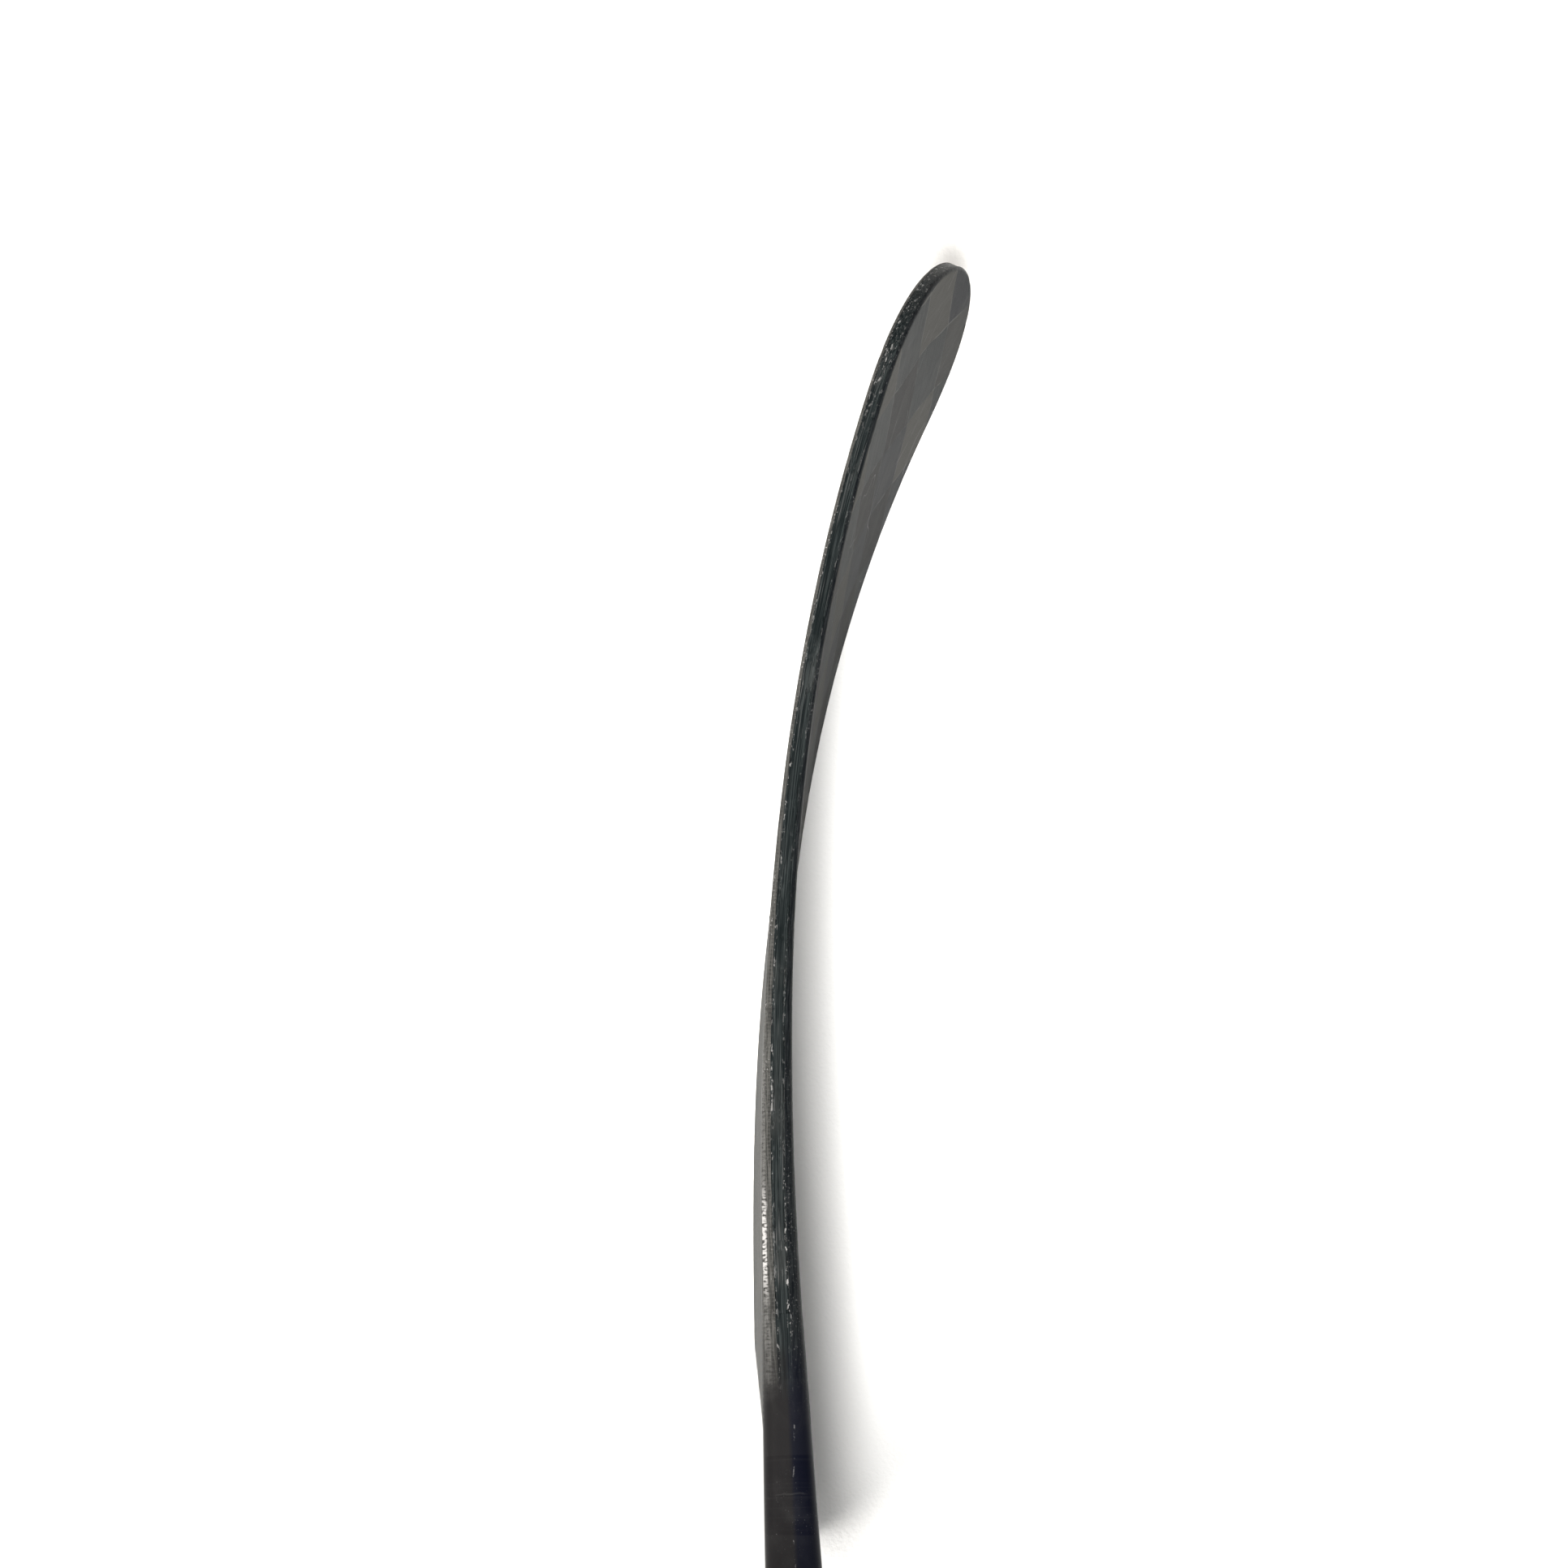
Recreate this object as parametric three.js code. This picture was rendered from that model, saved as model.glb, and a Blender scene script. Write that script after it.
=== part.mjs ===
// Composite ice hockey stick, senior size, left-handed, lie 6.
// Millimetres, +Z up. The blade points along +X, its forehand (concave) face looks to -Y, and
// the shaft rises towards -X. The sole's flat lies on Z = 0 and the origin is on that flat.
import * as THREE from "three";
import { mergeVertices } from "three/addons/utils/BufferGeometryUtils.js";

// ---- Driving dimensions ----
const HEEL_X = -50; // where the shaft's rear line meets the sole plane
const LIE = THREE.MathUtils.degToRad(47); // shaft above the sole plane, lie 6
const BLADE_LENGTH = 318;
const NECK_END = 53; // distance from the heel where the neck shell meets the blade
const HEIGHT_HEEL = 59;
const HEIGHT_TOE = 59.5;
const TIP_HEIGHT = 30.5; // height of the blade's furthest point
const TOE_RADIUS_TOP = 40; // length of the toe's rounding above the tip
const TOE_RADIUS_SOLE = 32; // and below it
const SOLE_FLAT_END = 110;
const SOLE_ROCKER = 2.4; // lift of the sole's line at the toe
const CURVE_START = 45; // the blade is straight and square up to here
const CURVE_OFFSET = 59; // sideways offset of the toe tip
const CURVE_POWER = 2.55;
const LOFT_TOE = 17; // degrees the face opens by at the toe
const LOFT_POWER = 2.7;
const LOFT_AXIS = 30; // height that the face twists about
const THICK_TOE = 4.6;
const THICK_HEEL = 9.53;
const THICK_REACH = 200; // how far along the blade the extra thickness fades

const SKIN = 0.8;
const GAP = 0.3; // bond line between neighbouring pieces
const STRIP_DEPTH = 4;
const BRIDGE_HEIGHT = 2.4; // rib between the two foam cores
const HEEL_BLOCK = 22; // length of the dense block at the blade's heel end

const WIDTH = 20; // shaft, side to side
const DEPTH = 30; // shaft, front to back
const NECK_DEPTH = 27; // section where the neck meets the shaft
const NECK_WIDTH = 15.6;
const NECK_CORNER = 3.6;
const NECK_EDGE = 1.2; // corner radius where the neck meets the blade
const CORNER = 4.6;
const WALL = 2;
const LEAST_RADIUS = 0.6; // tightest corner of an inner section
const TAPER_END = 300; // distance up the shaft where it reaches its full section
const JOINT = 84; // distance up the shaft of the fused joint
const SHAFT_LENGTH = 1524; // heel to butt
const HEEL_RADIUS = 22;
const THROAT_RADIUS = 60; // fillet between the top edge and the shaft's front
const TENON_LENGTH = 76;
const TENON_ROOT = 14; // how far the tenon reaches down into the neck
const FILM = 0.5; // adhesive film round the tenon
const STOPPER = 25;
const CAP = 5;
const PLUG = 60;

const ACROSS = new THREE.Vector3(0, 1, 0);
const UP_SHAFT = new THREE.Vector3(-Math.cos(LIE), 0, Math.sin(LIE));
const FORWARD = new THREE.Vector3(Math.sin(LIE), 0, Math.cos(LIE));
const HEEL = new THREE.Vector3(HEEL_X, 0, 0);

const group = new THREE.Group();

// ---- Helpers ----

// Closes a warped stock shape: shared vertices are merged, collapsed faces dropped, and the
// faces turned outwards.
function closed(geometry) {
  geometry.deleteAttribute("normal");
  geometry.deleteAttribute("uv");
  const merged = mergeVertices(geometry, 1e-4);
  const index = merged.index.array;
  const kept = [];
  for (let i = 0; i < index.length; i += 3) {
    const [a, b, c] = [index[i], index[i + 1], index[i + 2]];
    if (a !== b && b !== c && c !== a) kept.push(a, b, c);
  }
  merged.setIndex(volume(merged, kept) > 0 ? kept : kept.reverse());
  merged.computeVertexNormals();
  return merged;
}

function volume(geometry, index) {
  const corner = [0, 1, 2].map(() => new THREE.Vector3());
  let total = 0;
  for (let i = 0; i < index.length; i += 3) {
    corner.forEach((point, k) => point.fromBufferAttribute(geometry.attributes.position, index[i + k]));
    total += corner[0].dot(corner[1].clone().cross(corner[2]));
  }
  return total;
}

function add(name, geometry, look) {
  const mesh = new THREE.Mesh(closed(geometry), new THREE.MeshStandardMaterial(look));
  mesh.name = name;
  group.add(mesh);
}

// Moves each vertex of a stock geometry to place(x, y, z).
function warp(geometry, place) {
  const position = geometry.attributes.position;
  const point = new THREE.Vector3();
  for (let i = 0; i < position.count; i++) {
    point.fromBufferAttribute(position, i);
    const moved = place(point.x, point.y, point.z);
    position.setXYZ(i, moved.x, moved.y, moved.z);
  }
  return geometry;
}

// A subdivided box whose three coordinates run from 0 to 1.
function unitBox(nx, ny, nz) {
  return new THREE.BoxGeometry(1, 1, 1, nx, ny, nz).translate(0.5, 0.5, 0.5);
}

const lerp = THREE.MathUtils.lerp;
const clamp = THREE.MathUtils.clamp;

// ---- Blade surface ----
// u is the distance from the heel along X, z the height, t the distance from the blade's
// middle surface, positive towards the backhand side.

function curveShare(u) {
  return Math.max(0, (u - CURVE_START) / (BLADE_LENGTH - CURVE_START));
}

function curve(u) {
  return CURVE_OFFSET * curveShare(u) ** CURVE_POWER;
}

function loft(u) {
  return THREE.MathUtils.degToRad(LOFT_TOE) * curveShare(u) ** LOFT_POWER;
}

function thickness(u) {
  const fade = clamp(1 - (u - NECK_END) / THICK_REACH, 0, 1);
  return THICK_TOE + (THICK_HEEL - THICK_TOE) * fade ** 2;
}

function middle(u, z) {
  return new THREE.Vector3(HEEL_X + u, (z - LOFT_AXIS) * Math.tan(loft(u)) - curve(u), z);
}

function onBlade(u, z, t) {
  const step = 0.01;
  const along = middle(u + step, z).sub(middle(u - step, z));
  const upwards = middle(u, z + step).sub(middle(u, z - step));
  const normal = upwards.cross(along).normalize();
  return middle(u, z).addScaledVector(normal, t);
}

function soleLine(u) {
  return SOLE_ROCKER * Math.max(0, (u - SOLE_FLAT_END) / (BLADE_LENGTH - SOLE_FLAT_END)) ** 2;
}

function topLine(u) {
  return lerp(HEIGHT_HEEL, HEIGHT_TOE, clamp((u - NECK_END) / 200, 0, 1));
}

// Height of the blade's outline at u, drawn in by inset: upper = true gives the top.
function outline(u, inset, upper) {
  const line = upper ? topLine(u) - inset : soleLine(u) + inset;
  const radius = upper ? TOE_RADIUS_TOP : TOE_RADIUS_SOLE;
  const into = clamp((u - (BLADE_LENGTH - radius)) / (radius - inset), 0, 1);
  return TIP_HEIGHT + (line - TIP_HEIGHT) * Math.sqrt(1 - into * into);
}

// Distance along the blade for i from 0 to 1, closer together round the toe.
const TOE_SHARE = 0.3;
const TOE_SPAN = 46;
function station(i, start, end) {
  const straight = end - TOE_SPAN;
  if (i <= 1 - TOE_SHARE) return lerp(start, straight, i / (1 - TOE_SHARE));
  return straight + TOE_SPAN * Math.sin(((i - 1 + TOE_SHARE) / TOE_SHARE) * (Math.PI / 2));
}

// A slab of the blade between two distances from its middle surface.
function slab(options) {
  const { start, end, columns, rows, low, high, inner, outer } = options;
  return warp(unitBox(columns, 1, rows), (x, y, z) => {
    const u = end < BLADE_LENGTH - TOE_SPAN ? lerp(start, end, x) : station(x, start, end);
    return onBlade(u, lerp(low(u), high(u), z), lerp(inner(u), outer(u), y));
  });
}

const half = (u) => thickness(u) / 2;
const coreHalf = (u) => half(u) - SKIN - GAP;

// ---- Blade pieces ----

const WOVEN = { color: 0x4a4b4a, roughness: 0.55, metalness: 0 };
const RESIN = { color: 0x1c201f, roughness: 0.45, metalness: 0 };
const FOAM = { color: 0xd9cfae, roughness: 0.9, metalness: 0 };
const CARBON = { color: 0x18191b, roughness: 0.4, metalness: 0 };
const PAINT = { color: 0x14161c, roughness: 0.35, metalness: 0 };
const EPOXY = { color: 0x9a8350, roughness: 0.3, metalness: 0 };
const PLUG_FOAM = { color: 0xe6e4dc, roughness: 0.95, metalness: 0 };
const PLASTIC = { color: 0x121314, roughness: 0.5, metalness: 0 };
const RUBBER = { color: 0x101010, roughness: 0.8, metalness: 0 };

const SKIN_COLUMNS = 48;
const CORE_COLUMNS = 36;

function skin(side) {
  return slab({
    start: NECK_END + GAP,
    end: BLADE_LENGTH,
    columns: SKIN_COLUMNS,
    rows: 6,
    low: (u) => outline(u, 0, false),
    high: (u) => outline(u, 0, true),
    inner: (u) => side * (half(u) - SKIN),
    outer: (u) => side * half(u),
  });
}
add("forehand_skin", skin(-1), WOVEN);
add("backhand_skin", skin(1), WOVEN);

// Edge strips follow the outline between the skins: top and sole run to where the toe starts
// to round, and the toe strip goes round from one to the other.
const TOP_STRIP_END = BLADE_LENGTH - TOE_RADIUS_TOP;
const SOLE_STRIP_END = BLADE_LENGTH - TOE_RADIUS_SOLE;

function straightStrip(end, upper) {
  return slab({
    start: NECK_END + GAP,
    end,
    columns: CORE_COLUMNS,
    rows: 1,
    low: (u) => outline(u, upper ? STRIP_DEPTH : 0, upper),
    high: (u) => outline(u, upper ? 0 : STRIP_DEPTH, upper),
    inner: (u) => -coreHalf(u),
    outer: (u) => coreHalf(u),
  });
}
add("top_edge_strip", straightStrip(TOP_STRIP_END - GAP, true), RESIN);
add("sole_edge_strip", straightStrip(SOLE_STRIP_END - GAP, false), RESIN);

// Point of the toe's outline: turn runs from 0 at the top strip to 1 at the sole strip.
function toeRim(turn, inset) {
  const angle = (Math.abs(turn - 0.5) * 2 * Math.PI) / 2;
  const upper = turn < 0.5;
  const radius = upper ? TOE_RADIUS_TOP : TOE_RADIUS_SOLE;
  const u = BLADE_LENGTH - radius + (radius - inset) * Math.cos(angle);
  const line = upper ? topLine(u) - inset : soleLine(u) + inset;
  return { u, z: TIP_HEIGHT + (line - TIP_HEIGHT) * Math.sin(angle) };
}
const toeStrip = warp(unitBox(24, 1, 1), (x, y, z) => {
  const rim = toeRim(x, lerp(0, STRIP_DEPTH, z));
  return onBlade(rim.u, rim.z, lerp(-1, 1, y) * coreHalf(rim.u));
});
add("toe_edge_strip", toeStrip, RESIN);

const CORE_START = NECK_END + HEEL_BLOCK;
const CORE_INSET = STRIP_DEPTH + GAP;
const RIB_LOW = TIP_HEIGHT - BRIDGE_HEIGHT / 2;
const CORE_CLEAR = 12; // the foam stops short of the tip, where the toe strip closes the blade

function core(start, end, columns, rows, low, high) {
  const [inner, outer] = [(u) => -coreHalf(u), (u) => coreHalf(u)];
  return slab({ start, end, columns, rows, low, high, inner, outer });
}
const coreEnd = BLADE_LENGTH - CORE_CLEAR;
const coreTop = (u) => outline(u, CORE_INSET, true);
const coreFoot = (u) => outline(u, CORE_INSET, false);
const ribTop = () => RIB_LOW + BRIDGE_HEIGHT;
const ribFoot = () => RIB_LOW;
add("upper_core", core(CORE_START, coreEnd, CORE_COLUMNS, 2, () => ribTop() + GAP, coreTop), FOAM);
add("lower_core", core(CORE_START, coreEnd, CORE_COLUMNS, 2, coreFoot, () => ribFoot() - GAP), FOAM);
add("core_bridge", core(CORE_START, coreEnd, CORE_COLUMNS, 1, ribFoot, ribTop), CARBON);
add("heel_block", core(NECK_END + GAP, CORE_START - GAP, 4, 3, coreFoot, coreTop), EPOXY);

// ---- Shaft and neck sections ----

const RING = 20; // points round a section, five to each corner
const PER_CORNER = RING / 4;

// Point j of a rounded rectangle: [front to back, side to side].
function ringPoint(j, halfDepth, halfWidth, radius) {
  const corner = Math.floor(j / PER_CORNER) % 4;
  const angle = (corner + (j % PER_CORNER) / (PER_CORNER - 1)) * (Math.PI / 2);
  const signDepth = corner === 0 || corner === 3 ? 1 : -1;
  const signWidth = corner < 2 ? 1 : -1;
  return [
    signDepth * (halfDepth - radius) + radius * Math.cos(angle),
    signWidth * (halfWidth - radius) + radius * Math.sin(angle),
  ];
}

// Section of the shaft at a distance up its rear line, in from the outside by inset.
function shaftSection(s, inset) {
  const grown = 1 - clamp((TAPER_END - s) / (TAPER_END - JOINT), 0, 1) ** 2;
  const depth = lerp(NECK_DEPTH, DEPTH, grown);
  const width = lerp(NECK_WIDTH, WIDTH, grown);
  return {
    centre: HEEL.clone().addScaledVector(UP_SHAFT, s).addScaledVector(FORWARD, depth / 2),
    along: FORWARD,
    halfDepth: depth / 2 - inset,
    halfWidth: width / 2 - inset,
    radius: Math.max(lerp(NECK_CORNER, CORNER, grown) - inset, LEAST_RADIUS),
  };
}

// The neck's two profile lines, from the blade (k = 0) up to the fused joint (k = 1).
// The rear line goes round the heel, and the front line goes round the throat.
const HALF_BEND = LIE / 2;
const THROAT_Z = HEIGHT_HEEL;
const frontMeet = (THROAT_Z - FORWARD.z * NECK_DEPTH) / UP_SHAFT.z; // up-shaft distance of the corner
const FRONT_CORNER = HEEL.clone().addScaledVector(UP_SHAFT, frontMeet).addScaledVector(FORWARD, NECK_DEPTH);

function roundedPath(from, corner, to, radius) {
  const reach = radius * Math.tan(HALF_BEND);
  const enter = corner.clone().addScaledVector(from.clone().sub(corner).normalize(), reach);
  const leave = corner.clone().addScaledVector(to.clone().sub(corner).normalize(), reach);
  const path = new THREE.CurvePath();
  path.add(new THREE.LineCurve3(from, enter));
  path.add(new THREE.QuadraticBezierCurve3(enter, corner, leave));
  path.add(new THREE.LineCurve3(leave, to));
  return path;
}
const bladeFoot = new THREE.Vector3(HEEL_X + NECK_END, 0, 0);
const bladeHead = new THREE.Vector3(HEEL_X + NECK_END, 0, HEIGHT_HEEL);
const jointRear = HEEL.clone().addScaledVector(UP_SHAFT, JOINT);
const jointFront = jointRear.clone().addScaledVector(FORWARD, NECK_DEPTH);
const rearPath = roundedPath(bladeFoot, HEEL, jointRear, HEEL_RADIUS);
const frontPath = roundedPath(bladeHead, FRONT_CORNER, jointFront, THROAT_RADIUS);

function neckSection(k, inset) {
  const rear = rearPath.getPointAt(k);
  const front = frontPath.getPointAt(k);
  return {
    centre: rear.clone().lerp(front, 0.5),
    along: front.clone().sub(rear).normalize(),
    halfDepth: rear.distanceTo(front) / 2 - inset,
    halfWidth: lerp(THICK_HEEL, NECK_WIDTH, k ** 0.9) / 2 - inset,
    radius: Math.max(lerp(NECK_EDGE, NECK_CORNER, k) - inset, LEAST_RADIUS),
  };
}

function sectionPoint(section, j) {
  const [forward, across] = ringPoint(j, section.halfDepth, section.halfWidth, section.radius);
  return section.centre.clone().addScaledVector(section.along, forward).addScaledVector(ACROSS, across);
}

// A pipe through a list of outer and inner sections: a lathed square ring whose vertices are
// moved to the sections' rings.
function pipe(outer, inner) {
  const last = outer.length - 1;
  const profile = outer.map((_, i) => new THREE.Vector2(2, i));
  for (let i = last; i >= 0; i--) profile.push(new THREE.Vector2(1, i));
  profile.push(new THREE.Vector2(2, 0));
  return warp(new THREE.LatheGeometry(profile, RING), (x, y, z) => {
    const sections = Math.hypot(x, z) > 1.5 ? outer : inner;
    return sectionPoint(sections[Math.round(y)], turnIndex(x, z));
  });
}

// A solid bar through a list of sections.
function bar(sections) {
  const rows = sections.length - 1;
  const stock = new THREE.CylinderGeometry(1, 1, rows, RING, rows).translate(0, rows / 2, 0);
  return warp(stock, (x, y, z) => {
    const section = sections[Math.round(y)];
    return Math.hypot(x, z) < 0.5 ? section.centre.clone() : sectionPoint(section, turnIndex(x, z));
  });
}

function turnIndex(x, z) {
  const turn = Math.atan2(x, z) / (2 * Math.PI);
  return Math.round((turn + 1) * RING) % RING;
}

function span(from, to, steps) {
  return Array.from({ length: steps + 1 }, (_, i) => lerp(from, to, i / steps));
}

// ---- Neck pieces ----

const NECK_STEPS = 12;
const neckStations = span(0, 1, NECK_STEPS);
const neckShell = pipe(
  neckStations.map((k) => neckSection(k, 0)),
  neckStations.map((k) => neckSection(k, WALL)),
);
add("neck_shell", neckShell, CARBON);

// The foam in the neck stops three stations short of the joint, below the tenon's root.
const neckCore = bar(neckStations.slice(0, -3).map((k) => neckSection(k, WALL + GAP)));
add("neck_core", neckCore, FOAM);

// ---- Shaft pieces ----

const tenonInset = WALL + GAP + FILM + GAP;
const tenonStations = span(JOINT - TENON_ROOT, JOINT + TENON_LENGTH, 5);
add("tenon", bar(tenonStations.map((s) => tenonSection(s))), CARBON);

// The tenon keeps one section over its whole length, that of the joint.
function tenonSection(s) {
  const section = shaftSection(JOINT, tenonInset);
  section.centre.addScaledVector(UP_SHAFT, s - JOINT);
  return section;
}

const filmStations = span(JOINT + GAP, JOINT + TENON_LENGTH, 4);
const film = (inset) => (s) => {
  const section = tenonSection(s);
  section.halfDepth += inset;
  section.halfWidth += inset;
  section.radius += inset;
  return section;
};
add("tenon_adhesive", pipe(filmStations.map(film(GAP + FILM)), filmStations.map(film(GAP))), EPOXY);

const topOfShaft = SHAFT_LENGTH - CAP;
const shaftStations = [...span(JOINT + GAP, TAPER_END, 6), ...span(TAPER_END + 200, topOfShaft - GAP, 3)];
const shaftTube = pipe(
  shaftStations.map((s) => shaftSection(s, 0)),
  shaftStations.map((s) => shaftSection(s, WALL)),
);
add("shaft_tube", shaftTube, PAINT);

const stopperStart = JOINT + TENON_LENGTH + GAP;
const stopper = span(stopperStart, stopperStart + STOPPER, 2).map((s) => shaftSection(s, WALL + GAP));
add("shaft_stopper", bar(stopper), PLUG_FOAM);

const plug = span(topOfShaft - PLUG, topOfShaft - GAP, 2).map((s) => shaftSection(s, WALL + GAP));
add("butt_plug", bar(plug), PLASTIC);

const cap = span(topOfShaft, SHAFT_LENGTH, 2).map((s, i) => shaftSection(s, i === 2 ? 1 : 0));
add("end_cap", bar(cap), RUBBER);

export default group;
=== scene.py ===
"""Looks of a left-handed composite ice hockey stick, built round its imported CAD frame."""

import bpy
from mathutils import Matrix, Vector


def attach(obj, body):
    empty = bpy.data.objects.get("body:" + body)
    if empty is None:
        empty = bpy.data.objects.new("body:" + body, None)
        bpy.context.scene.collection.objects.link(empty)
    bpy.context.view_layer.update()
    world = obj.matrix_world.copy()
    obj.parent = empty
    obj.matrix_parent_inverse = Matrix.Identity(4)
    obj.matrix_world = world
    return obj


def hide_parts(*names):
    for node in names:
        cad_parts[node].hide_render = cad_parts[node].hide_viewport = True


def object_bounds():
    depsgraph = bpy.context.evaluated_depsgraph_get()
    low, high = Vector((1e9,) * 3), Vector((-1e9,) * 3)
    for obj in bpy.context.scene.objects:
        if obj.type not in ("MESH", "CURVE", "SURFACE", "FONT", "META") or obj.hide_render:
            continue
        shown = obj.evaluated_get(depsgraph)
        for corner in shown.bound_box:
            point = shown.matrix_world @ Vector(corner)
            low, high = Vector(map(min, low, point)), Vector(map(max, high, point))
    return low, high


bl_info = {
    "name": "Composite Hockey Stick",
    "version": (1, 0, 0),
    "blender": (4, 5, 0),
    "location": "View3D > Sidebar > Stick",
    "description": "Builds the finished blade, neck and shaft of an ice hockey stick",
    "category": "Add Mesh",
}

import math

import bpy
import numpy as np
from bpy.props import FloatProperty, FloatVectorProperty, IntProperty, PointerProperty
from mathutils import Euler, Vector, noise

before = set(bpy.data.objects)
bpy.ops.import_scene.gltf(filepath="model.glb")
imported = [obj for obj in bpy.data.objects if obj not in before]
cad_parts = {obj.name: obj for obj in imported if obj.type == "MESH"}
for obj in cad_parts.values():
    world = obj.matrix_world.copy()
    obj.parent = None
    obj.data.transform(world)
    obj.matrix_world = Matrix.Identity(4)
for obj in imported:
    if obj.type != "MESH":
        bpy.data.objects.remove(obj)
CAD_BOX = [list(corner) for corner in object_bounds()]
MM = 0.001
BODY = "root"

# ---- Driving dimensions of the blade and shaft, the same as the CAD's, in metres ----
HEEL_X = -50 * MM
LIE = math.radians(47)
BLADE_LENGTH = 318 * MM
NECK_END = 53 * MM
HEIGHT_HEEL = 59 * MM
HEIGHT_TOE = 59.5 * MM
HEIGHT_REACH = 200 * MM
TIP_HEIGHT = 30.5 * MM
TOE_RADIUS_TOP = 40 * MM
TOE_RADIUS_SOLE = 32 * MM
SOLE_FLAT_END = 110 * MM
SOLE_ROCKER = 2.4 * MM
CURVE_START = 45 * MM
CURVE_OFFSET = 59 * MM
CURVE_POWER = 2.55
LOFT_TOE = math.radians(17)
LOFT_POWER = 2.7
LOFT_AXIS = 30 * MM
THICK_TOE = 4.6 * MM
THICK_HEEL = 9.53 * MM
THICK_REACH = 200 * MM
SKIN = 0.8 * MM
STRIP_DEPTH = 4 * MM
STRIP_HALF = 1.7 * MM
STRIP_MARGIN = 0.85 * MM
STRIP_SINK = 0.02 * MM
JOINT = 84 * MM
NECK_DEPTH = 27 * MM
NECK_WIDTH = 15.6 * MM
NECK_CORNER = 3.6 * MM
NECK_POWER = 0.9
SHAFT_DEPTH = 30 * MM
SHAFT_WIDTH = 20 * MM
SHAFT_CORNER = 4.6 * MM
SHAFT_LENGTH = 1524 * MM
TAPER_END = 300 * MM
HEEL_RADIUS = 22 * MM
THROAT_RADIUS = 60 * MM
WALL = 2 * MM
RIDGE = 1.1 * MM
RIDGE_FOOT = -0.45
RIDGE_HEAD = -0.05
RIDGE_DRIFT = 70 * MM
RIDGE_RISE = 40 * MM
RIDGE_FADE = 250 * MM
CAP = 5 * MM
CAP_BEVEL = 0.4 * MM
FINE_STEP = 0.01 * MM
SHARP = math.radians(40)

UP_SHAFT = np.array([-math.cos(LIE), 0, math.sin(LIE)])
FORWARD = np.array([math.sin(LIE), 0, math.cos(LIE)])
HEEL = np.array([HEEL_X, 0, 0])

# ---- Spacing of the fine meshes ----
TOE_SPAN = 46 * MM
TOE_SHARE = 0.3
RIM_POWER = 1.6
CORNER_SHARE = 0.5
STRAIGHTEN_ROUNDS = 4
TURN_POINTS = 200

# ---- Sheen of every carbon surface ----
SHEEN = 0.06


# ---- Blade shape: u along the blade from the heel, t across it, z up ----

def curve_share(u):
    return np.maximum(0, (u - CURVE_START) / (BLADE_LENGTH - CURVE_START))


def middle(u, z):
    """Points of the blade's middle surface."""
    loft = LOFT_TOE * curve_share(u) ** LOFT_POWER
    y = (z - LOFT_AXIS) * np.tan(loft) - CURVE_OFFSET * curve_share(u) ** CURVE_POWER
    return np.stack([HEEL_X + u, y, z], 1)


def across(u, z):
    """Unit normals of the middle surface, pointing to the backhand side."""
    along = middle(u + FINE_STEP, z) - middle(u - FINE_STEP, z)
    upwards = middle(u, z + FINE_STEP) - middle(u, z - FINE_STEP)
    normal = np.cross(upwards, along)
    return normal / np.linalg.norm(normal, axis=1, keepdims=True)


def straighten(points):
    """Turns points of the curved blade into (u, t, z) of the straight one."""
    u, z = points[:, 0] - HEEL_X, points[:, 2]
    for _ in range(STRAIGHTEN_ROUNDS):
        normal = across(u, z)
        t = ((points - middle(u, z)) * normal).sum(1)
        foot = points - normal * t[:, None]
        u, z = foot[:, 0] - HEEL_X, foot[:, 2]
    return np.stack([u, t, z], 1)


def bend(lay):
    """The way back from (u, t, z) to points of the curved blade."""
    u, t, z = lay.T
    return middle(u, z) + across(u, z) * t[:, None]


def thickness(u):
    fade = np.clip(1 - (u - NECK_END) / THICK_REACH, 0, 1)
    return THICK_TOE + (THICK_HEEL - THICK_TOE) * fade**2


def outline_line(u, upper):
    """Height of the straight part of the blade's top (upper) or sole."""
    top = HEIGHT_HEEL + (HEIGHT_TOE - HEIGHT_HEEL) * np.clip((u - NECK_END) / HEIGHT_REACH, 0, 1)
    rocker = np.maximum(0, (u - SOLE_FLAT_END) / (BLADE_LENGTH - SOLE_FLAT_END)) ** 2
    return np.where(upper, top, SOLE_ROCKER * rocker)


def outline_reach(u, z):
    """Place within the toe's rounding: 1 on the outline, less inside, with its two parts."""
    upper = z > TIP_HEIGHT
    line = outline_line(u, upper)
    radius = np.where(upper, TOE_RADIUS_TOP, TOE_RADIUS_SOLE)
    into = np.clip((u - (BLADE_LENGTH - radius)) / radius, 0, None)
    rise = (z - TIP_HEIGHT) / (line - TIP_HEIGHT)
    return np.hypot(into, rise), into, rise, np.abs(line - TIP_HEIGHT)


def inset_from_outline(u, z):
    """How far inside the blade's outline a point lies."""
    reach, _, _, size = outline_reach(u, z)
    return np.maximum(0, 1 - reach) * size


def strip_half(u):
    """Half the width of the bare edge strip."""
    return np.minimum(STRIP_HALF, thickness(u) / 2 - STRIP_MARGIN)


def shoulder(u):
    """Radius that the skins go round with, from the blade's side to the edge strip."""
    return thickness(u) / 2 - strip_half(u)


def outline_height(u, upper):
    radius = np.where(upper, TOE_RADIUS_TOP, TOE_RADIUS_SOLE)
    into = np.clip((u - (BLADE_LENGTH - radius)) / radius, 0, 1)
    return TIP_HEIGHT + (outline_line(u, upper) - TIP_HEIGHT) * np.sqrt(1 - into**2)


# ---- Neck shape: sections between a rear line round the heel and a front line round the throat ----

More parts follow.
